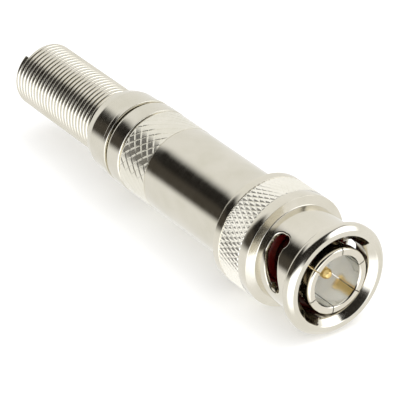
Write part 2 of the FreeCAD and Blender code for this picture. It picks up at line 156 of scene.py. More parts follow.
def mesh_object(name, verts, faces, dress, along, around, sharp=SHARP_ANGLE, inside=None):
    """One object from points in millimetres and groups of faces.

    dress is the same for every kind of piece: its material, the body that it rides on, the
    nodes that it replaces and its slot; the slot is not used. Three point attributes go to the
    finish: along, the distance along the profile, around, the distance around the axis, both in
    millimetres, and inside, 1 where the piece faces its bore.
    """
    material, body, nodes, slot = dress
    mesh = bpy.data.meshes.new(name)
    rows = [row for group in faces for row in np.asarray(group, np.int64).tolist()]
    mesh.from_pydata((np.asarray(verts) * MM).tolist(), [], rows)
    for title, values in (("along", along), ("around", around), ("inside", inside)):
        if values is not None:
            layer = mesh.attributes.new(title, "FLOAT", "POINT")
            layer.data.foreach_set("value", np.asarray(values, np.float32))
    mesh.shade_smooth()
    mesh.set_sharp_from_angle(angle=math.radians(sharp))
    mesh.materials.append(material)
    mesh.update()
    found = placed(name, mesh)
    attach(found, body)
    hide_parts(*nodes)
    return found


def grid_quads(rows, cols, wrap_rows=False):
    """Quads between neighbouring rows; the columns always close on themselves."""
    starts = np.arange(rows if wrap_rows else rows - 1)
    row, col = np.meshgrid(starts, np.arange(cols), indexing="ij")
    up, on = (row + 1) % rows, (col + 1) % cols
    corners = [row * cols + col, row * cols + on, up * cols + on, up * cols + col]
    return np.stack(corners, -1).reshape(-1, 4)


def spun(profile, cols, radial=None):
    """Points of a profile spun about Z, row by row.

    x is radius times cosine of the azimuth, y radius times its sine, z the height.
    radial, if given, is added to the radius: one value for each row and column.
    """
    azimuth = np.arange(cols) * 2 * math.pi / cols
    radius = profile[:, 0:1] + np.zeros((1, cols)) if radial is None else profile[:, 0:1] + radial
    height = profile[:, 1:2] + np.zeros((1, cols))
    verts = np.stack([radius * np.cos(azimuth), radius * np.sin(azimuth), height], -1)
    along = np.repeat(run_length(profile), cols)
    around = (azimuth[None, :] * profile[:, 0:1]).ravel()
    return verts.reshape(-1, 3), along, around


def ring_piece(name, loop, cols, dress, sharp=SHARP_ANGLE, radial=None, split=False):
    """A closed ring: a closed outline of radius and height, spun about Z.

    The outline may run either way, and the faces look outward. With split, each square is cut
    along the diagonal whose ends differ less in radius from each other.
    """
    loop = np.array(loop, float)
    x, z = loop[:, 0], loop[:, 1]
    area = 0.5 * np.sum(x * np.roll(z, -1) - np.roll(x, -1) * z)
    verts, along, around = spun(loop, cols, radial)
    quads = grid_quads(len(loop), cols, wrap_rows=True)
    if area < 0:
        quads = quads[:, ::-1]
    if split:
        tall = radial.ravel()[quads]
        flatter = np.abs(tall[:, 0] - tall[:, 2]) <= np.abs(tall[:, 1] - tall[:, 3])
        turned = np.where(flatter[:, None], quads, np.roll(quads, -1, 1))
        quads = np.concatenate([turned[:, [0, 1, 2]], turned[:, [0, 2, 3]]])
    return mesh_object(name, verts, [quads], dress, along, around, sharp)


def solid_piece(name, line, cols, dress):
    """A solid with both ends on the axis; each end closes in a fan around one point.

    The line runs from the low end to the high end, first and last radius are 0.
    """
    line = np.array(line, float)
    verts, along, around = spun(line[1:-1], cols)
    low, high = len(verts), len(verts) + 1
    verts = np.vstack([verts, [[0, 0, line[0, 1]], [0, 0, line[-1, 1]]]])
    col = np.arange(cols)
    last = (len(line) - 3) * cols
    under = np.stack([(col + 1) % cols, col, np.full(cols, low)], 1)
    over = np.stack([last + col, last + (col + 1) % cols, np.full(cols, high)], 1)
    quads = grid_quads(len(line) - 2, cols)
    along = np.concatenate([along + line[1, 0], [0, along[-1] + line[1, 0]]])
    around = np.concatenate([around, [0, 0]])
    return mesh_object(name, verts, [quads, under, over], dress, along, around)


def wall_piece(name, azimuth, level, quads, outer, inner, dress, shade_from=0.0):
    """A thick wall over a flat net of azimuth and level, with whatever holes the net has.

    outer and inner turn the net's points into radius and height. The two skins are joined
    by a strip along every open edge of the net, so ends, slots and windows all close. On the
    inner skin the inside attribute grows from 0 to 1 behind the height shade_from; it masks the
    painted bore colour, painted shade in the nut and painted light in the contact.
    """
    turn = np.radians(azimuth)
    skins = []
    for rule in (outer, inner):
        radius, height = rule(azimuth, level)
        skins.append(np.stack([radius * np.cos(turn), radius * np.sin(turn), height], 1))
    count = len(azimuth)
    edges = np.concatenate([quads[:, [i, (i + 1) % 4]] for i in range(4)])
    key = edges.min(1) * count + edges.max(1)
    _, first, times = np.unique(key, return_index=True, return_counts=True)
    rim = edges[first[times == 1]]
    strip = np.stack([rim[:, 1], rim[:, 0], rim[:, 0] + count, rim[:, 1] + count], 1)
    verts = np.vstack(skins)
    around = np.tile(turn * LINES_RADIUS, 2)
    along = verts[:, 2] + np.hypot(verts[:, 0], verts[:, 1]) * LINES_SHARE
    depth = np.clip((verts[:, 2] - shade_from) / SHADE_LENGTH, 0.0, 1.0)
    inside = np.repeat([0.0, 1.0], count) * depth
    return mesh_object(name, verts, [quads, quads[:, ::-1] + count, strip], dress, along, around,
                       WALL_SHARP, inside)


# Knurl

# Length in millimetres over which a knurl rises at its ends
KNURL_BEVEL = 0.16


def knurl_height(azimuth, level, teeth, rise, depth, flat, dome):
    """Height of a diamond knurl over its valleys.

    Two families of V grooves cross. With a = teeth turned past and b = level over the rise of
    one diamond, each family's height is twice the distance of a plus b, or a minus b, to the
    nearest whole number. The lower of the two counts, cut off at flat. With m that height over
    flat, the tooth's height is depth times one minus (one minus m) to the power dome.
    """
    a = azimuth / 360.0 * teeth
    b = level / rise
    first = 2 * np.abs(a + b - np.round(a + b))
    second = 2 * np.abs(a - b - np.round(a - b))
    low = np.minimum(np.minimum(first, second), flat) / flat
    return depth * (1.0 - (1.0 - low) ** dome)


def knurl_piece(name, settings, dress, low, high, crest, core, per_tooth, flat, dome):
    """A knurled sleeve: an outer skin of diamonds that ends in short bevels, and a plain core."""
    depth, rise, teeth = settings.knurl_depth / MM, settings.knurl_rise / MM, settings.teeth
    cols = teeth * per_tooth
    rows = int(round((high - low) / rise * per_tooth)) + 1
    level = np.linspace(low, high, rows)
    azimuth = np.arange(cols) * 360.0 / cols
    grid_a, grid_z = np.meshgrid(azimuth, level)
    tall = knurl_height(grid_a, grid_z - low, teeth, rise, depth, flat, dome)
    edge = np.minimum(grid_z - low, high - grid_z)
    tall = np.minimum(tall, depth * np.clip(edge / KNURL_BEVEL, 0.0, 1.0))
    loop = np.concatenate([
        [[core, low]],
        np.stack([np.full(rows, crest - depth), level], 1),
        [[core, high]],
    ])
    radial = np.vstack([np.zeros((1, cols)), tall, np.zeros((1, cols))])
    return ring_piece(name, loop, cols, dress, KNURL_SHARP, radial, split=True)


# Finishes

# Scales of noise over metres
PATCH_SCALE = 260.0
GRAIN_SCALE = 4200.0
PLASTIC_SCALE = 900.0

# Height of the bumps in metres, and how slowly lathe lines change around a piece
BUMP_HEIGHT = 0.00002
LINES_AROUND = 0.35

# What is left of red, green and blue in hazy plate, and how much brighter clear plate is
HAZE = (0.955, 0.955, 0.93)
CLEAR = 1.02


def shader():
    """A new material with its nodes and its main shader."""
    material = bpy.data.materials.new("finish")
    material.use_nodes = True
    tree = material.node_tree
    return material, tree, tree.nodes["Principled BSDF"]


def node(tree, kind, **values):
    """A new node. in_ and a number or a name sets that input, any other name is a setting."""
    made = tree.nodes.new(kind)
    for key, value in values.items():
        if key.startswith("in_"):
            title = key[3:].replace("_", " ")
            made.inputs[int(title) if title.isdigit() else title].default_value = value
        else:
            setattr(made, key, value)
    return made


def reading(tree, name):
    """A point attribute of the piece."""
    return node(tree, "ShaderNodeAttribute", attribute_name=name).outputs["Fac"]


def ranged(tree, source, low, high, out_low, out_high):
    """A value moved from one range to another and kept inside it."""
    made = node(tree, "ShaderNodeMapRange", in_1=low, in_2=high, in_3=out_low, in_4=out_high)
    tree.links.new(source, made.inputs[0])
    return made.outputs[0]


def object_noise(tree, scale, detail):
    """Noise over the piece's own coordinates."""
    where = node(tree, "ShaderNodeTexCoord").outputs["Object"]
    noise = node(tree, "ShaderNodeTexNoise", in_Scale=scale, in_Detail=detail, in_Roughness=0.55)
    tree.links.new(where, noise.inputs["Vector"])
    return noise.outputs["Fac"]


def combined(tree, operation, *values):
    """The result of a sum or product of sockets and plain numbers."""
    made = node(tree, "ShaderNodeMath", operation=operation)
    for place, value in enumerate(values):
        if isinstance(value, float):
            made.inputs[place].default_value = value
        else:
            tree.links.new(value, made.inputs[place])
    return made.outputs[0]


def turning_lines(tree, fine, slow):
    """Lathe lines: noise that runs fast along the profile and slowly around it."""
    pair = node(tree, "ShaderNodeCombineXYZ")
    for place, (name, scale) in enumerate((("along", fine), ("around", slow))):
        tree.links.new(combined(tree, "MULTIPLY", reading(tree, name), scale), pair.inputs[place])
    noise = node(tree, "ShaderNodeTexNoise", in_Scale=1.0, in_Detail=4.0, in_Roughness=0.6)
    tree.links.new(pair.outputs[0], noise.inputs["Vector"])
    return noise.outputs["Fac"]


def bumped(tree, main, height, strength):
    """Put bumps of that height on a material."""
    made = node(tree, "ShaderNodeBump", in_Strength=strength, in_Distance=BUMP_HEIGHT)
    tree.links.new(height, made.inputs["Height"])
    tree.links.new(made.outputs[0], main.inputs["Normal"])


def tinted(tree, base, mask, colour):
    """The base colour, or the given one where the mask is 1. Either is a colour or a socket."""
    mix = node(tree, "ShaderNodeMix", data_type="RGBA")
    for place, value in ((6, base), (7, colour)):
        if isinstance(value, tuple):
            mix.inputs[place].default_value = (*value, 1)
        else:
            tree.links.new(value, mix.inputs[place])
    tree.links.new(mask, mix.inputs[0])
    return mix.outputs[2]


def plated(colour, rough, lines, bump, bore=None, satin=0.0):
    """Nickel or gold plate over turned metal: faint lathe lines, soft patches of haze, fine grain.

    bore, if given, is a colour painted inside the piece: painted shade in the nut's bore and
    painted light in the contact's bore. satin is the share of light that the frosted plate
    scatters instead of mirroring.
    """
    material, tree, main = shader()
    main.inputs["Metallic"].default_value = 1.0 - satin
    patches = object_noise(tree, PATCH_SCALE, 3.0)
    grain = object_noise(tree, GRAIN_SCALE, 2.0)
    hazy = tuple(part * left for part, left in zip(colour, HAZE))
    clear = tuple(min(1.0, part * CLEAR) for part in colour)
    plate = tinted(tree, hazy, ranged(tree, patches, 0.35, 0.65, 0, 1), clear)
    # painted bore colour: painted shade in the nut's bore, painted light in the contact's bore
    if bore:
        plate = tinted(tree, plate, reading(tree, "inside"), bore)
    tree.links.new(plate, main.inputs["Base Color"])
    turned = turning_lines(tree, lines, LINES_AROUND)
    haze = ranged(tree, patches, 0.3, 0.7, rough * 0.82, rough * 1.15)
    tree.links.new(combined(tree, "ADD", haze, ranged(tree, turned, 0.35, 0.7, -0.02, 0.05)),
                   main.inputs["Roughness"])
    bumped(tree, main, combined(tree, "MULTIPLY_ADD", grain, 0.35, turned), bump)
    return material


def plain_plastic(colour, rough, under, bump):
    """A waxy or rubbery piece with a little depth, mottling and moulded grain."""
    material, tree, main = shader()
    mottle = ranged(tree, object_noise(tree, PLASTIC_SCALE * 0.4, 3.0), 0.35, 0.65, 0, 1)
    base = tinted(tree, tuple(part * 0.9 for part in colour), mottle, colour)
    tree.links.new(base, main.inputs["Base Color"])
    main.inputs["Subsurface Weight"].default_value = under
    main.inputs["Subsurface Radius"].default_value = (1.0, 0.9, 0.8)
    main.inputs["Subsurface Scale"].default_value = 0.0006
    grain = object_noise(tree, PLASTIC_SCALE * 3, 2.0)
    tree.links.new(ranged(tree, grain, 0.3, 0.7, rough * 0.85, rough * 1.2), main.inputs["Roughness"])
    bumped(tree, main, grain, bump)
    return material


NICKEL = (0.775, 0.735, 0.64)


def nickel_nut():
    """Bright nickel of the nut, with painted shade darkening its bore."""
    return plated(NICKEL, 0.12, 9.0, 0.12, bore=(0.30, 0.26, 0.19))


def nickel_knurl():
    """Slightly frosted nickel of the nut's knurl."""
    return plated((0.93, 0.90, 0.82), 0.13, 9.0, 0.1, satin=0.16)


def shell_knurl():
    """Slightly frosted nickel of the shell's knurl."""
    return plated((0.80, 0.77, 0.68), 0.13, 7.0, 0.1, satin=0.1)


def nickel_shell():
    """Bright nickel of the shell and the cap."""
    return plated((0.735, 0.70, 0.61), 0.12, 7.0, 0.12)


def nickel_contact():
    """Bright nickel of the contact, with painted light brightening its bore."""
    return plated((0.79, 0.74, 0.64), 0.12, 11.0, 0.1, bore=(0.93, 0.92, 0.87))


def nickel_wire():
    """Nickel of the spring's drawn wire."""
    return plated(NICKEL, 0.16, 3.0, 0.15)


def nickel_body():
    """Duller nickel of the hidden body."""
    return plated(NICKEL, 0.2, 8.0, 0.2)


def strip_steel():
    """Grey stamped strip of the washers, snap ring and clamp."""
    return plated((0.62, 0.61, 0.58), 0.24, 5.0, 0.25)


def gilt():
    """Gold plate of the pin."""
    return plated((1.0, 0.52, 0.12), 0.08, 9.0, 0.08)


def white_insulator():
    """Waxy white plastic."""
    return plain_plastic((0.9, 0.89, 0.85), 0.42, 0.35, 0.1)


def red_gasket():
    """Dark red rubber."""
    return plain_plastic((0.2, 0.001, 0.002), 0.32, 0.1, 0.08)


def milky_sleeve():
    """Milky plastic of the insulating sleeve."""
    return plain_plastic((0.8, 0.8, 0.77), 0.35, 0.3, 0.06)


def finish_of(make):
    """The finish that a function makes. It is made once and gets the function's name."""
    name = make.__name__
    if name not in bpy.data.materials:
        make().name = name
    return bpy.data.materials[name]


# Settings

def distance(title, about, metres):
    """A length that can be set."""
    return FloatProperty(name=title, description=about, default=metres, unit="LENGTH", subtype="DISTANCE")


def number(title, about, count, least):
    """A whole number that can be set."""
    return IntProperty(name=title, description=about, default=count, min=least)


class NutSettings(bpy.types.PropertyGroup):
    columns: number("Columns", "Columns of the nut's net, even", 360, 120)
    window_radius: distance("Slot half width", "Half the width of the slot", 0.00107)
    edge_round: distance("Slot edge", "Rounding of the slot's outer edge", 0.0002)
    teeth: number("Knurl teeth", "Diamonds around the nut's grip", 65, 12)
    knurl_depth: distance("Knurl depth", "Depth of the nut's knurl", 0.00012)
    knurl_rise: distance("Knurl rise", "Height of one diamond on the nut", 0.00134)


class ShellSettings(bpy.types.PropertyGroup):
    columns: number("Columns", "Columns of the shell and cap", 256, 64)
    teeth: number("Knurl teeth", "Diamonds around the shell", 27, 12)
    knurl_depth: distance("Knurl depth", "Depth of the shell's knurl", 0.00005)
    knurl_rise: distance("Knurl rise", "Height of one diamond on the shell", 0.0013)


class SpringSettings(bpy.types.PropertyGroup):
    wire_radius: distance("Wire radius", "Half the wire's diameter", 0.00034)
    outer_radius: distance("Outer radius", "Outside of the spring", 0.00443)
    pitch: distance("Pitch", "Rise of one turn", 0.000695)
    end_azimuth: FloatProperty(name="Cut end", description="Direction of the wire's cut end in degrees",
                               default=-84.0)
    steps: number("Steps", "Steps in one turn", 72, 24)


class StageSettings(bpy.types.PropertyGroup):
    table_turn: FloatProperty(name="Table turn", default=-45.66,
                              description="Azimuth of the backdrop table's normal in degrees")
    table_away: distance("Table distance", "Distance from the axis to the table", 0.00716)
    light: FloatProperty(name="Light", description="Strength of the surrounding light", default=1.0)


# Nut

# Radii and heights of the nut in millimetres, front first
NUT_MOUTH = 5.78
RIM_FLAT = 6.33
RIM_RADIUS = 6.95
RIM_BACK = 1.5
NECK_RADIUS = 5.95
NECK_END = 7.78
GRIP_RADIUS = 7.1
KNURL_BED = 6.9
KNURL_BED_LOW = 9.5
KNURL_BED_HIGH = 13.2
GRIP_END = 14.32
NUT_BACK = 6.48
NUT_END = 15.0
RECESS_RADIUS = 5.75

# Bores of the nut: the cone in the mouth, the socket's room, the gasket's room and the web
CONE_RADIUS = 5.75
CONE_END = 0.85
SOCKET_BORE = 4.93
ROOM_BORE = 5.5
WEB_BORE = 4.3
WEB_LOW = 13.3
WEB_HIGH = 14.2

# The nut's knurl: its ends, crest, inside, columns in one tooth, cut and rounding
NUT_KNURL = {
    "low": 9.48, "high": 13.22, "crest": 7.12, "core": 6.8, "per_tooth": 12, "flat": 1.0, "dome": 2.0,
}

# Keyways: azimuth of the first one in degrees, half width and end in millimetres, degrees to
# either side that they keep within, radius of their floor, half the width of a step into them
KEYWAY_AZIMUTH = 174.0
KEYWAY_HALF = 1.175
KEYWAY_END = 3.92
KEYWAY_SPAN = 40
CUT_RADIUS = 5.6
CUT_STEP = 0.03

# The J-slot: places as degrees from the keyway and height in millimetres, the ramp's rise in a
# whole turn, and the degrees between which the ramp is cut from inside
RAMP_START = (45.5, 4.42)
RAMP_END = (79.0, 5.574)
LEVEL_END = (94.2, 5.574)
DETENT = (96.7, 5.1)
DETENT_RADIUS = 0.85
RAMP_PITCH = 12.4
BLIND_LOW = -10
BLIND_HIGH = 60

# Length of the nut's outer line that ends in the neck
FRONT_LENGTH = 9

# Rows of the nut's net: the heights of the neck's rows, and how many lie before and behind them
NET_LOW = 2.05
NET_STEP = 0.125
NECK_HEIGHTS = np.arange(NET_LOW, 7.11, NET_STEP)
FIRST_ROW = 24
LAST_ROW = FIRST_ROW + len(NECK_HEIGHTS) - 1
ROWS_BEHIND = 29
ROW_COUNT = LAST_ROW + 1 + ROWS_BEHIND

# The rectangle of the net around a slot: its low side in millimetres, its ends in degrees
WINDOW_LOW = 2.8
WINDOW_LEFT = 29
WINDOW_RIGHT = 113

# Rings around a slot: distances in millimetres from its outline, then shares of the way from
# the outermost of them to the rectangle
RING_DISTANCES = (0.0, 0.03, 0.07, 0.12, 0.2)
RING_REACH = 0.3
RING_SHARES = (0.0, 0.2, 0.45, 0.7)

# Distance to a slot that stands for none near
FAR_AWAY = 9.0

# Millimetres around the neck in one degree
DEGREE = math.radians(1) * NECK_RADIUS


def nut_outer_line():
    """Outside of the nut from the edge of the mouth to its back face."""
    return densified(softened([
        (NUT_MOUTH, 0.0), (RIM_FLAT, 0.0), (6.77, 0.35), (RIM_RADIUS, 0.62), (RIM_RADIUS, RIM_BACK),
        (NECK_RADIUS, RIM_BACK), (NECK_RADIUS, NECK_END), (7.06, 8.03), (GRIP_RADIUS, 8.12),
        (GRIP_RADIUS, 9.46), (KNURL_BED, KNURL_BED_LOW), (KNURL_BED, KNURL_BED_HIGH),
        (GRIP_RADIUS, 13.24), (GRIP_RADIUS, GRIP_END), (NUT_BACK, NUT_END), (RECESS_RADIUS, NUT_END),
    ], [0, 0.06, 0.2, 0.2, 0.42, 0.5, 0.16, 0.04, 0.05, 0.03, 0, 0, 0.03, 0.12, 0.08, 0], 8), 2.2)


def nut_outer_rows():
    """The nut's outside: a radius and a height for each row of its net."""
    line = nut_outer_line()
    length = run_length(line)
    rim = length < FRONT_LENGTH
    start = np.interp(NET_LOW, line[rim, 1], length[rim])
    behind = length > start - 0.2
    at_neck = np.interp(NECK_HEIGHTS, line[behind, 1], length[behind])
    want = np.concatenate([np.linspace(0, start, FIRST_ROW, endpoint=False), at_neck])
    front = at_lengths(want, line, length)
    rest = line[length > at_neck[-1] + 0.02]
    return np.vstack([front, rest[spread_out(len(rest))]])


def nut_inner_rows():
    """The nut's inside: a radius and a height for each row of its net."""
    low = np.concatenate([np.linspace(0.03, NET_LOW, FIRST_ROW, endpoint=False), NECK_HEIGHTS])
    radius = np.interp(low, [0.0, CONE_END, 5.34, 5.36], [CONE_RADIUS, SOCKET_BORE, SOCKET_BORE, ROOM_BORE])
    web = densified(softened([
        (ROOM_BORE, NECK_HEIGHTS[-1] + 0.1), (ROOM_BORE, WEB_LOW), (WEB_BORE, WEB_LOW),
        (WEB_BORE, WEB_HIGH), (RECESS_RADIUS, WEB_HIGH), (RECESS_RADIUS, 14.97),
    ], [0, 0.05, 0.05, 0.05, 0.05, 0], 3), 2.6)
    return np.vstack([np.stack([radius, low], 1), web[spread_out(len(web))]])


def spread_out(count):
    """Which of so many points go to the rows behind the neck: evenly spread, both ends kept."""
    return np.round(np.linspace(0, count - 1, ROWS_BEHIND)).astype(int)


def unrolled(place):
    """A place on the neck, degrees and height, as a flat point in millimetres."""
    return np.array([place[0] * DEGREE, place[1]])


def bearing(start, end):
    """Direction from one flat point to another in degrees."""
    return math.degrees(math.atan2(end[1] - start[1], end[0] - start[0]))


def slot_outline(half):
    """Outline of the J-slot in the unrolled neck, lengths in millimetres, counter-clockwise.

    A band of the given half width follows a ramp and then a level run. Both ends are round,
    and the round detent bulges out of the far end toward the mouth. The result is four runs,
    one for each side of the surrounding rectangle: below, right, above, left.
    """
    start, bend, end = unrolled(RAMP_START), unrolled(RAMP_END), unrolled(LEVEL_END)
    detent, wide = unrolled(DETENT), DETENT_RADIUS
    slope = bearing(start, bend)
    tilt = math.radians(slope)
    low = end[1] - half
    leave = start + half * np.array([math.sin(tilt), -math.cos(tilt)])
    knee = np.array([leave[0] + (low - leave[1]) / math.tan(tilt), low])
    meet = math.degrees(math.asin((detent[1] - low) / wide))
    apart = np.linalg.norm(end - detent)
    spread = math.degrees(math.acos((apart ** 2 + wide ** 2 - half ** 2) / (2 * apart * wide)))
    cross = bearing(detent, end) - spread
    touch = detent + wide * np.array([math.cos(math.radians(cross)), math.sin(math.radians(cross))])
    leaving = bearing(end, touch)
    below = [arc(start, half, 225, 270 + slope, 12), [knee], arc(detent, wide, 180 + meet, 315, 20)]
    right = [arc(detent, wide, 315, 360 + cross, 16), arc(end, half, leaving, 45, 14)[1:]]
    above = [arc(end, half, 45, 90, 12), arc(bend, half, 90, 90 + slope, 8),
             arc(start, half, 90 + slope, 135, 8)]
    left = [arc(start, half, 135, 225, 24)]
    return [np.concatenate(side) for side in (below, right, above, left)]


def resampled(line, parts):
    """The line cut into that many equal parts; the last point is left out."""
    length = run_length(line)
    keep = np.concatenate([[True], np.diff(length) > 1e-9])
    want = np.linspace(0, length[-1], parts, endpoint=False)
    return at_lengths(want, line[keep], length[keep])


def slot_rings(left, right, low, high, turn, step, half):
    """Rings around one slot: points in the unrolled neck and their distance to the slot.

    The rectangle's own corners come last, as columns and rows of the net.
    """
    wide, tall = right - left, high - low
    cols = np.concatenate([np.arange(left, right), np.full(tall, right),
                           np.arange(right, left, -1), np.full(tall, left)])
    rows = np.concatenate([np.full(wide, low), np.arange(low, high),
                           np.full(wide, high), np.arange(high, low, -1)])
    height = np.interp(rows, [FIRST_ROW, LAST_ROW], [NET_LOW, NECK_HEIGHTS[-1]])
    border = np.stack([(cols * step - turn) * DEGREE, height], 1)
    outline = np.concatenate([resampled(run, parts) for run, parts in
                              zip(slot_outline(half), (wide, tall, wide, tall))])
    ahead = np.roll(outline, -1, 0) - np.roll(outline, 1, 0)
    normal = np.stack([ahead[:, 1], -ahead[:, 0]], 1)
    normal /= np.linalg.norm(normal, axis=1)[:, None]
    for _ in range(3):
        normal = (np.roll(normal, 1, 0) + normal * 2 + np.roll(normal, -1, 0)) / 4
    near = outline + normal * RING_REACH
    rings = [(outline + normal * away, away) for away in RING_DISTANCES]
    rings += [(near + (border - near) * share, RING_REACH + share) for share in RING_SHARES]
    return rings, cols, rows


def nut_net(columns, half):
    """Net of the nut's wall: azimuth in degrees, level, quads, and each point's distance to a slot.

    Level counts rows of the profile; in the neck it follows the height. Around each slot a
    rectangle of the regular net is taken out and filled with rings that turn from the slot's
    outline into the rectangle.
    """
    step = 360.0 / columns
    size = ROW_COUNT * columns
    azimuth = [KEYWAY_AZIMUTH + np.tile(np.arange(columns) * 360.0 / columns, ROW_COUNT)]
    level = [np.repeat(np.arange(ROW_COUNT, dtype=float), columns)]
    gap = [np.full(size, FAR_AWAY)]
    quads = grid_quads(ROW_COUNT, columns)
    row, col = quads[:, 0] // columns, quads[:, 0] % columns
    kept = np.ones(len(quads), bool)
    filled = []
    low, high = FIRST_ROW + int(round((WINDOW_LOW - NET_LOW) / NET_STEP)), LAST_ROW - 1
    for turn in (0, 180):
        left, right = int((turn + WINDOW_LEFT) / step), int((turn + WINDOW_RIGHT) / step)
        kept &= ~((row >= low) & (row < high) & (col >= left) & (col < right))
        rings, side_cols, side_rows = slot_rings(left, right, low, high, turn, step, half)
        count = len(side_cols)
        place = size + np.arange(len(rings) * count).reshape(len(rings), count)
        place = np.vstack([place, (side_rows * columns + side_cols % columns)[None]])
        for points, away in rings:
            azimuth.append(KEYWAY_AZIMUTH + turn + points[:, 0] / DEGREE)
            level.append(np.interp(points[:, 1], [NET_LOW, NECK_HEIGHTS[-1]], [FIRST_ROW, LAST_ROW]))
            gap.append(np.full(count, away))
        near, far = place[:-1], place[1:]
        ring_quads = np.stack([near, far, np.roll(far, -1, 1), np.roll(near, -1, 1)], -1)
        filled.append(ring_quads.reshape(-1, 4))
        size += len(rings) * count
    return (np.concatenate(azimuth), np.concatenate(level), np.concatenate([quads[kept], *filled]),
            np.concatenate(gap))


def build_nut(settings):
    """The coupling nut: rim, neck with two J-slots and keyways, shoulder, grip and inner web."""
    half = settings.window_radius / MM
    edge = settings.edge_round / MM
    azimuth, level, quads, gap = nut_net(settings.columns, half)
    outer_rows = nut_outer_rows()
    inner_rows = nut_inner_rows()

    def outer(_, row):
        """Profile outside, drawn in near a slot by a quarter circle."""
        radius, height = at_rows(row, outer_rows)
        into = np.clip(edge - gap, 0, edge)
        drawn = edge - np.sqrt(np.maximum(edge ** 2 - into ** 2, 0))
        return radius - drawn, height

    def inner(turned, row):
        """Profile inside, cut deeper by the keyways and by the blind part of each ramp."""
        radius, height = at_rows(row, inner_rows)
        local = (turned - KEYWAY_AZIMUTH + 90.0) % 180.0 - 90.0
        across = radius * np.sin(np.radians(local))
        middle = RAMP_START[1] + (local - RAMP_START[0]) * RAMP_PITCH / 360
        way = np.clip((KEYWAY_HALF + CUT_STEP - np.abs(across)) / (2 * CUT_STEP), 0, 1)
        way = way * np.clip((KEYWAY_END - height) / 0.08, 0, 1) * (np.abs(local) < KEYWAY_SPAN)
        band = np.clip((half + CUT_STEP - np.abs(height - middle)) / (2 * CUT_STEP), 0, 1)
        band = band * ((local > BLIND_LOW) & (local < BLIND_HIGH))
        band = band * np.clip((local - BLIND_LOW + 1) / 2, 0, 1)
        cut = np.maximum(way, band) * (row <= LAST_ROW)
        return radius + np.maximum(CUT_RADIUS - radius, 0) * cut, height

    # the nut's painted bore shade comes in behind the mouth's cone, at CONE_END
    wall_piece("nut_wall", azimuth, level, quads, outer, inner,
               (finish_of(nickel_nut), "nut", ("coupling_nut",), "nickel_satin"), CONE_END)


def build_nut_knurl(settings):
    """The fine diamonds on the nut's grip."""
    dress = finish_of(nickel_knurl), "nut", ("coupling_nut",), "nickel_satin"
    knurl_piece("nut_knurl", settings, dress, **NUT_KNURL)


# Contact, pin, insulator, gasket

# Radii and heights of the contact tube in millimetres
CONTACT_LIP = 4.17
CONTACT_RADIUS = 3.9
CONTACT_BORE = 3.2
INSULATOR_BORE = 3.3
FINGER_END = 6.0
CONTACT_BACK = 14.0

# Slots between the fingers: azimuth of the first one and the turn to the next, in degrees
FINGER_AZIMUTH = 23.0
FINGER_TURN = 60

# Radii and heights of the pin, the insulator and the gasket in millimetres
PIN_TIP = 1.6
PIN_RADIUS = 0.66
PIN_STEM = 0.85
PIN_COLLAR = 1.1
PIN_COLLAR_LOW = 13.0
PIN_BACK = 24.0
CUP_RADIUS = 0.55
CUP_FLOOR = 19.0
INSULATOR_FACE = 5.25
INSULATOR_RADIUS = 3.25
INSULATOR_BACK = 18.0
GASKET_IN = 3.95
GASKET_OUT = 5.42
GASKET_LOW = 8.2
GASKET_HIGH = 9.5


def build_contact():
    """The contact tube: a wall over a net of whole degrees with six slots left out."""
    cols = 360
    outer_line = softened([
        (3.34, 0.05), (CONTACT_LIP, 0.05), (CONTACT_LIP, 1.25), (CONTACT_RADIUS, 1.5),
        (CONTACT_RADIUS, FINGER_END),
    ], [0, 0.38, 0.1, 0.1, 0], 8)
    inner_line = softened([(3.32, 0.06), (CONTACT_BORE, 0.2), (CONTACT_BORE, FINGER_END)], [0, 0.08, 0], 4)
    low = len(outer_line)
    places = np.round(np.linspace(0, 1, low), 6)
    length = run_length(inner_line)
    inside = at_lengths(places ** 1.3 * length[-1], inner_line, length)
    outer_rows = np.vstack([outer_line, [
        (CONTACT_RADIUS, 7.8), (CONTACT_RADIUS, 9.5), (3.7, 9.5), (3.7, CONTACT_BACK),
    ]])
    inner_rows = np.vstack([inside, [(INSULATOR_BORE, high) for high in (6.05, 9.0, 12.0, 13.98)]])
    total = len(outer_rows)
    level = np.repeat(np.arange(total, dtype=float), cols)
    azimuth = FINGER_AZIMUTH + np.tile(np.arange(cols, dtype=float), total)
    quads = grid_quads(total, cols)
    row, col = quads[:, 0] // cols, quads[:, 0] % cols
    slot = ((col + 1) % FINGER_TURN < 2) & (row < low - 1)
    used, where = np.unique(quads[~slot], return_inverse=True)

    def outer(_, row):
        """Outside of the tube."""
        return at_rows(row, outer_rows)

    def inner(_, row):
        """Inside of the tube."""
        return at_rows(row, inner_rows)

    # the contact's painted bore light comes in from the mouth
    wall_piece("contact_tube", azimuth[used], level[used], where.reshape(-1, 4), outer, inner,
               (finish_of(nickel_contact), "plug", ("outer_contact",), "nickel_satin"))


def build_pin():
    """The pin, with a pointed tip in front and a solder cup behind."""
    outline = softened([
        (0, PIN_TIP), (0.36, PIN_TIP), (PIN_RADIUS, 2.12), (PIN_RADIUS, 5.2), (PIN_STEM, INSULATOR_FACE),
        (PIN_STEM, PIN_COLLAR_LOW), (PIN_COLLAR, PIN_COLLAR_LOW), (PIN_COLLAR, PIN_BACK),
        (CUP_RADIUS, PIN_BACK), (CUP_RADIUS, CUP_FLOOR), (0, CUP_FLOOR),
    ], [0, 0.28, 0.4, 0.02, 0.02, 0, 0.05, 0.08, 0.05, 0.05, 0], 8)
    solid_piece("pin", densified(outline, 2.0), 72, (finish_of(gilt), "plug", ("centre_pin",), "gilt"))


def build_insulator():
    """The white body that holds the pin."""
    outline = softened([
        (0.9, INSULATOR_FACE), (INSULATOR_RADIUS, INSULATOR_FACE), (INSULATOR_RADIUS, INSULATOR_BACK),
        (1.15, INSULATOR_BACK), (1.15, PIN_COLLAR_LOW), (0.9, PIN_COLLAR_LOW),
    ], [0.08, 0.12, 0.1, 0.05, 0, 0], 4, True)
    ring_piece("insulator_body", outline, 128,
               (finish_of(white_insulator), "plug", ("insulator",), "white_plastic"))


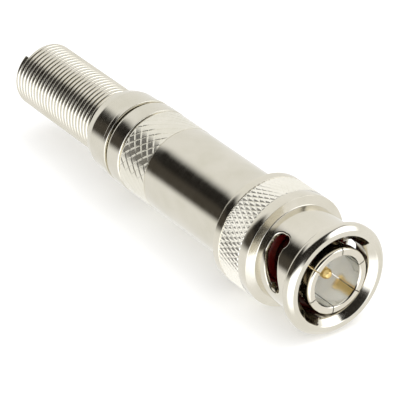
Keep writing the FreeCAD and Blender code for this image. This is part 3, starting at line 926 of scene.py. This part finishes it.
def build_gasket():
    """The red ring behind the slots."""
    outline = softened([
        (GASKET_IN, GASKET_LOW), (GASKET_OUT, GASKET_LOW),
        (GASKET_OUT, GASKET_HIGH), (GASKET_IN, GASKET_HIGH),
    ], [0.3, 0.3, 0.05, 0.05], 6, True)
    ring_piece("gasket_ring", outline, 160, (finish_of(red_gasket), "plug", ("gasket",), "red_rubber"))


# Shell and cap

# Radii and heights of the rear shell in millimetres, front first
SHELL_FRONT = 14.55
FRONT_RECESS = 4.9
BARREL_RADIUS = 5.6
SHELL_BED = 5.4
BAND_RADIUS = 5.66
BAND_LOW = 36.2
BAND_HIGH = 38.5
SHELL_BACK = 39.1
LIP_BORE = 4.55
LIP_FRONT = 36.9
CABLE_BORE = 4.95
THREAD_BORE = 4.05
THREAD_LOW = 15.4
THREAD_HIGH = 21.0

# The shell's knurl, as the nut's, and the end of the room for it
SHELL_KNURL = {"low": 30.6, "crest": 5.64, "core": 5.3, "per_tooth": 16, "flat": 0.25, "dome": 1.0}
SHELL_KNURL_ROOM = 36.12

# Radii and heights of the cap in millimetres, front first
CAP_FRONT = 36.4
CAP_HOLE = 3.4
CAP_FLARE = 4.85
CAP_SPIGOT = 4.5
CAP_RING = 5.62
CAP_RING_LOW = 39.2
CAP_BACK = 44.25
SEAT_BORE = 4.48
SEAT_LOW = 40.4


def build_shell(settings):
    """The rear shell: a bright barrel, the bed of a coarse knurl and a plain band behind it."""
    outline = softened([
        (FRONT_RECESS, SHELL_FRONT), (BARREL_RADIUS, SHELL_FRONT), (BARREL_RADIUS, 30.55), (SHELL_BED, 30.65),
        (SHELL_BED, 36.1), (BAND_RADIUS, BAND_LOW), (BAND_RADIUS, BAND_HIGH), (5.3, SHELL_BACK),
        (LIP_BORE, SHELL_BACK), (LIP_BORE, LIP_FRONT), (CABLE_BORE, LIP_FRONT), (CABLE_BORE, THREAD_HIGH),
        (THREAD_BORE, THREAD_HIGH), (THREAD_BORE, THREAD_LOW), (FRONT_RECESS, THREAD_LOW),
    ], [0.05, 0.15, 0.05, 0, 0, 0.05, 0.5, 0.12, 0.05, 0.05, 0, 0, 0.05, 0.05, 0], 6, True)
    ring_piece("shell_barrel", densified(outline, 2.5, True), settings.columns,
               (finish_of(nickel_shell), "shell", ("rear_shell",), "nickel_satin"))


def build_shell_knurl(settings):
    """The coarse diamonds on the shell, as many halves of a diamond long as there is room for."""
    rise = settings.knurl_rise / MM
    turns = round((SHELL_KNURL_ROOM - SHELL_KNURL["low"]) / rise * 2) / 2
    dress = finish_of(shell_knurl), "shell", ("rear_shell",), "nickel_satin"
    knurl_piece("shell_knurl", settings, dress, high=SHELL_KNURL["low"] + rise * turns, **SHELL_KNURL)


def build_cap(settings):
    """The spring cap: a front ring, a slightly tapered body and a rounded back."""
    outline = softened([
        (CAP_HOLE, CAP_FRONT), (CAP_FLARE, CAP_FRONT), (CAP_FLARE, 36.8), (CAP_SPIGOT, 36.85),
        (CAP_SPIGOT, CAP_RING_LOW), (CAP_RING, CAP_RING_LOW), (CAP_RING, 39.82), (5.5, 39.95), (5.44, 42.6),
        (5.16, 43.7), (4.66, CAP_BACK), (SEAT_BORE, CAP_BACK), (SEAT_BORE, SEAT_LOW), (CAP_HOLE, SEAT_LOW),
    ], [0.05, 0.1, 0.1, 0.05, 0, 0.12, 0.1, 0.08, 1.6, 0.9, 0.25, 0.06, 0, 0.05], 8, True)
    ring_piece("cap", densified(outline, 2.5, True), settings.columns,
               (finish_of(nickel_shell), "boot", ("spring_ferrule",), "nickel_satin"))


# Spring

# Heights of the spring's two ends in millimetres, and the points around its wire
SPRING_TOP = 61.8
SPRING_FOOT = 41.0
WIRE_SIDES = 14

# The bevel of a cut end: what is left of the wire's radius, and its length in turns
CUT_SHARE = 0.86
CUT_TURN = 0.0009


def build_spring(settings):
    """The spring: a round wire wound on a circle, ending in a flat cut.

    With t in turns the centre is at radius times (cosine, sine) of 360 t plus the end's azimuth
    and at top plus pitch times t, t from minus the number of turns to 0. Around it the wire's
    own circle opens in the plane of the radius and Z.
    """
    wire = settings.wire_radius / MM
    centre = settings.outer_radius / MM - wire
    pitch = settings.pitch / MM
    top = SPRING_TOP - wire
    turns = (top - SPRING_FOOT) / pitch
    count = int(turns * settings.steps)
    t = np.linspace(-turns, 0, count)
    t = np.concatenate([[t[0]], t, [t[-1] + CUT_TURN]])
    size = np.concatenate([[CUT_SHARE], np.ones(count), [CUT_SHARE]])
    azimuth = np.radians(settings.end_azimuth) + 2 * math.pi * t
    height = top + pitch * np.minimum(t, 0)
    around = np.arange(WIRE_SIDES) * 2 * math.pi / WIRE_SIDES
    radius = centre + wire * size[:, None] * np.cos(around)
    z = height[:, None] + wire * size[:, None] * np.sin(around)
    verts = np.stack([radius * np.cos(azimuth)[:, None], radius * np.sin(azimuth)[:, None], z], -1)
    rows, cols = verts.shape[:2]
    quads = grid_quads(rows, cols)
    foot, cut = list(range(cols)), list(range((rows - 1) * cols, rows * cols))[::-1]
    along = np.tile(around * wire, rows)
    distance = np.repeat(azimuth * centre, cols)
    dress = finish_of(nickel_wire), "boot", ("strain_relief_spring",), "spring_wire"
    mesh_object("spring_wire", verts.reshape(-1, 3), [quads, [foot], [cut]], dress, along, distance,
                WIRE_SHARP)


# Pieces kept from the solids

def dress_solids():
    """Finishes of the inner pieces that stay as their solids; the wave washer gets its own copy of its mesh.
    """
    wanted = {
        "plug_body": (nickel_body, "nickel_satin"),
        "thrust_washer": (strip_steel, "strip_steel"),
        "wave_washer": (strip_steel, "strip_steel"),
        "snap_ring": (strip_steel, "strip_steel"),
        "cable_clamp": (strip_steel, "strip_steel"),
        "rear_insulator": (white_insulator, "white_plastic"),
        "insulating_sleeve": (milky_sleeve, "clear_sleeve"),
    }
    for name, (make, slot) in wanted.items():
        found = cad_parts[name]
        found.data.materials.clear()
        found.data.materials.append(finish_of(make))
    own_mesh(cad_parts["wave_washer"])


# Stage

# Half the side of the floor and the table in metres
SHEET_HALF = 1.2

# The lamp: side and places in metres, energy in watts
LAMP_SIDE = 0.25
LAMP_ENERGY = 0.35
LAMP_AWAY = 0.36
LAMP_ASIDE = 0.16
LAMP_UP = 0.03

# The camera: lens and sensor in millimetres, place in metres, and the rows of its turn
CAMERA_LENS = 225.0
CAMERA_SENSOR = 36.0
CAMERA_PLACE = (-0.001576, -0.213079, -0.184199)
CAMERA_ROWS = ((0.58289, 0.81255, 0.0), (0.56961, -0.40862, -0.71314), (-0.57946, 0.41568, -0.70102))

# Directions in the room, seen from the backdrop table
RIGHT = np.array([0.583, 0.570, -0.579])
FRONT = np.array([-0.414, -0.405, -0.815])
ABOVE = np.array([0.699, -0.715, 0.0])

# Light that comes from the room: its walls, the lamp's side, the lit table and the dark side
WALL_LIGHT = (0.93, 0.93, 0.92)
LAMP_LIGHT = (1.9, 1.95, 2.05)
TABLE_LIGHT = (1.8, 1.85, 1.95)
DARK_LIGHT = (0.058, 0.050, 0.040)
DARKEST_LIGHT = (0.010, 0.008, 0.006)
EVEN_LIGHT = (1.12, 1.12, 1.12)
EVEN_TABLE_LIGHT = (1.8, 1.8, 1.8)


def plane(name, centre, side, up, half, material):
    """A flat square whose face looks along side times up."""
    centre, side, up = np.array(centre), np.array(side), np.array(up)
    verts = [centre - side * half - up * half, centre + side * half - up * half,
             centre + side * half + up * half, centre - side * half + up * half]
    mesh = bpy.data.meshes.new(name)
    mesh.from_pydata([v.tolist() for v in verts], [], [(0, 1, 2, 3)])
    mesh.materials.append(material)
    made = placed(name, mesh)
    return made


def blended(tree, mask, first, second):
    """The first shader where the mask is 0, and the second one where it is 1."""
    mix = node(tree, "ShaderNodeMixShader")
    for place, source in enumerate((mask, first, second)):
        tree.links.new(source, mix.inputs[place])
    return mix.outputs[0]


def paper():
    """White paper that shows only its front."""
    material, tree, main = shader()
    main.inputs["Base Color"].default_value = (0.93, 0.93, 0.93, 1)
    main.inputs["Roughness"].default_value = 0.9
    main.inputs["Specular IOR Level"].default_value = 0.0
    main.inputs["Emission Color"].default_value = (1, 1, 1, 1)
    main.inputs["Emission Strength"].default_value = 0.06
    clear = node(tree, "ShaderNodeBsdfTransparent")
    side = node(tree, "ShaderNodeNewGeometry")
    seen = blended(tree, side.outputs["Backfacing"], main.outputs[0], clear.outputs[0])
    tree.links.new(seen, tree.nodes["Material Output"].inputs["Surface"])
    return material


def side_mask(tree, direction, vector, low, high):
    """0 to 1 as the cosine between a direction and the vector goes from low to high, softly."""
    dot = node(tree, "ShaderNodeVectorMath", operation="DOT_PRODUCT")
    dot.inputs[1].default_value = vector
    tree.links.new(direction, dot.inputs[0])
    made = node(tree, "ShaderNodeMapRange", interpolation_type="SMOOTHSTEP", in_1=low, in_2=high,
                in_3=0.0, in_4=1.0)
    tree.links.new(dot.outputs["Value"], made.inputs[0])
    return made.outputs[0]


def product(tree, first, second):
    """Two masks multiplied."""
    return combined(tree, "MULTIPLY", first, second)


def glow(tree, colour, strength):
    """Light of the surroundings in that colour."""
    made = node(tree, "ShaderNodeBackground", in_Strength=strength)
    tree.links.new(colour, made.inputs["Color"])
    return made.outputs[0]


def build_world(light):
    """Surrounding light: white to the camera, a room with a dark side to shiny surfaces.

    The directions are measured against the backdrop table: above it, to its right and to its
    front. The dark side is the part of the room in front and on the left, under the lamps; the
    bright parts are a lamp on the right and the lit table in front.
    """
    world = bpy.data.worlds.new("studio")
    bpy.context.scene.world = world
    world.use_nodes = True
    tree = world.node_tree
    tree.nodes.clear()
    out = node(tree, "ShaderNodeOutputWorld")
    direction = node(tree, "ShaderNodeTexCoord").outputs["Generated"]

    def side(vector, low, high):
        """One side of the room."""
        return side_mask(tree, direction, tuple(vector), low, high)

    dark = product(tree, side(ABOVE - 0.09 * RIGHT - 0.25 * FRONT, 0.90, 0.72),
                   side(ABOVE - 0.26 * FRONT, -0.16, 0.08))
    dark = product(tree, dark, product(tree, side(RIGHT, 0.67, 0.60), side(FRONT, -0.56, -0.40)))
    lamp = side(0.84 * RIGHT + 0.10 * FRONT + 0.52 * ABOVE, 0.89, 0.95)
    ahead = product(tree, side(FRONT, 0.5, 0.85), side(ABOVE, 0.4, 0.25))
    colour = tinted(tree, WALL_LIGHT, lamp, LAMP_LIGHT)
    colour = tinted(tree, colour, ahead, TABLE_LIGHT)
    gloom = tinted(tree, DARK_LIGHT, side(ABOVE, 0.22, 0.42), DARKEST_LIGHT)
    colour = tinted(tree, colour, dark, gloom)
    studio = glow(tree, colour, light)
    even = glow(tree, tinted(tree, EVEN_LIGHT, side(FRONT, 0.3, 0.9), EVEN_TABLE_LIGHT), light)
    white = node(tree, "ShaderNodeBackground", in_Color=(1, 1, 1, 1), in_Strength=1.0)
    path = node(tree, "ShaderNodeLightPath")
    reflected = blended(tree, path.outputs["Is Glossy Ray"], even, studio)
    seen = blended(tree, path.outputs["Is Camera Ray"], reflected, white.outputs[0])
    tree.links.new(seen, out.inputs["Surface"])


def build_sheets(normal, away):
    """The floor under the mating face, and the table behind the plug."""
    finish = finish_of(paper)
    floor = plane("floor", (0, 0, 0), (1, 0, 0), (0, 1, 0), SHEET_HALF, finish)
    floor.visible_shadow = False
    floor.visible_glossy = False
    floor.visible_diffuse = False
    side = np.array([-normal[1], normal[0], 0])
    table = plane("table", -normal * away, side, (0, 0, 1), SHEET_HALF, finish)
    table.visible_shadow = False
    table.visible_glossy = False


def build_lamp(normal):
    """A soft square lamp in front of the table and to the right. It aims at the plug's mouth."""
    data = bpy.data.lights.new("key", "AREA")
    data.shape = "SQUARE"
    data.size = LAMP_SIDE
    data.energy = LAMP_ENERGY
    lamp = placed("key", data)
    right = np.array(CAMERA_ROWS)[:, 0]
    place = normal * LAMP_AWAY + right * LAMP_ASIDE + np.array([0, 0, LAMP_UP])
    lamp.location = place.tolist()
    aim = -place / np.linalg.norm(place)
    lamp.rotation_mode = "QUATERNION"
    lamp.rotation_quaternion = Vector(aim.tolist()).to_track_quat("-Z", "Y")
    lamp.visible_glossy = False


def build_camera():
    """The camera, placed as in the photograph."""
    data = bpy.data.cameras.new("camera")
    data.lens = CAMERA_LENS
    data.sensor_width = CAMERA_SENSOR
    data.clip_start = 0.01
    data.clip_end = 5.0
    camera = placed("camera", data)
    bpy.context.scene.camera = camera
    camera.matrix_world = Matrix.Translation(CAMERA_PLACE) @ Matrix(CAMERA_ROWS).to_4x4()


def build_stage(settings):
    """Floor, table behind the plug, surroundings, lamp and camera."""
    turn = math.radians(settings.table_turn)
    normal = np.array([math.cos(turn), math.sin(turn), 0])
    build_sheets(normal, settings.table_away)
    build_world(settings.light)
    build_lamp(normal)
    build_camera()
    bpy.context.scene.view_settings.view_transform = "Standard"


# Operators

class PLUG_OT_nut(bpy.types.Operator):
    """Build the coupling nut and its knurl"""
    bl_idname = "plug.nut"
    bl_label = "Coupling nut"

    def execute(self, context):
        build_nut(context.scene.plug_nut)
        build_nut_knurl(context.scene.plug_nut)
        return {"FINISHED"}


class PLUG_OT_contacts(bpy.types.Operator):
    """Build the contact tube, pin, insulator and gasket"""
    bl_idname = "plug.contacts"
    bl_label = "Contacts"

    def execute(self, context):
        build_contact()
        build_pin()
        build_insulator()
        build_gasket()
        return {"FINISHED"}


class PLUG_OT_shell(bpy.types.Operator):
    """Build the rear shell, its knurl and the spring cap"""
    bl_idname = "plug.shell"
    bl_label = "Shell and cap"

    def execute(self, context):
        build_shell(context.scene.plug_shell)
        build_shell_knurl(context.scene.plug_shell)
        build_cap(context.scene.plug_shell)
        return {"FINISHED"}


class PLUG_OT_spring(bpy.types.Operator):
    """Build the strain relief spring"""
    bl_idname = "plug.spring"
    bl_label = "Spring"

    def execute(self, context):
        build_spring(context.scene.plug_spring)
        return {"FINISHED"}


class PLUG_OT_solids(bpy.types.Operator):
    """Give the inner solids their finishes"""
    bl_idname = "plug.solids"
    bl_label = "Inner pieces"

    def execute(self, context):
        dress_solids()
        return {"FINISHED"}


class PLUG_OT_stage(bpy.types.Operator):
    """Set up floor, backdrop, light and camera"""
    bl_idname = "plug.stage"
    bl_label = "Stage"

    def execute(self, context):
        build_stage(context.scene.plug_stage)
        return {"FINISHED"}


class PLUG_PT_panel(bpy.types.Panel):
    """Buttons and settings of the plug"""
    bl_idname = "PLUG_PT_panel"
    bl_label = "Bayonet cable plug"
    bl_space_type = "VIEW_3D"
    bl_region_type = "UI"
    bl_category = "Plug"

    def draw(self, context):
        layout = self.layout
        for operator in OPERATORS:
            layout.operator(operator.bl_idname)
        for title in SETTINGS:
            group = getattr(context.scene, title)
            for name in group.bl_rna.properties.keys():
                if name not in ("rna_type", "name"):
                    layout.prop(group, name)


OPERATORS = [PLUG_OT_nut, PLUG_OT_contacts, PLUG_OT_shell, PLUG_OT_spring, PLUG_OT_solids, PLUG_OT_stage]
SETTINGS = {
    "plug_nut": NutSettings,
    "plug_shell": ShellSettings,
    "plug_spring": SpringSettings,
    "plug_stage": StageSettings,
}


def register():
    """Make the settings, operators and panel known."""
    for kind in [*SETTINGS.values(), *OPERATORS, PLUG_PT_panel]:
        bpy.utils.register_class(kind)
    for title, kind in SETTINGS.items():
        setattr(bpy.types.Scene, title, PointerProperty(type=kind))


def unregister():
    """Take them away again."""
    for title in SETTINGS:
        delattr(bpy.types.Scene, title)
    for kind in reversed([*SETTINGS.values(), *OPERATORS, PLUG_PT_panel]):
        bpy.utils.unregister_class(kind)


def main():
    """Build every piece and the stage."""
    register()
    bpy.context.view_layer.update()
    bpy.ops.plug.nut()
    bpy.ops.plug.contacts()
    bpy.ops.plug.shell()
    bpy.ops.plug.spring()
    bpy.ops.plug.solids()
    bpy.ops.plug.stage()
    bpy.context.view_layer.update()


if __name__ == "__main__":
    main()
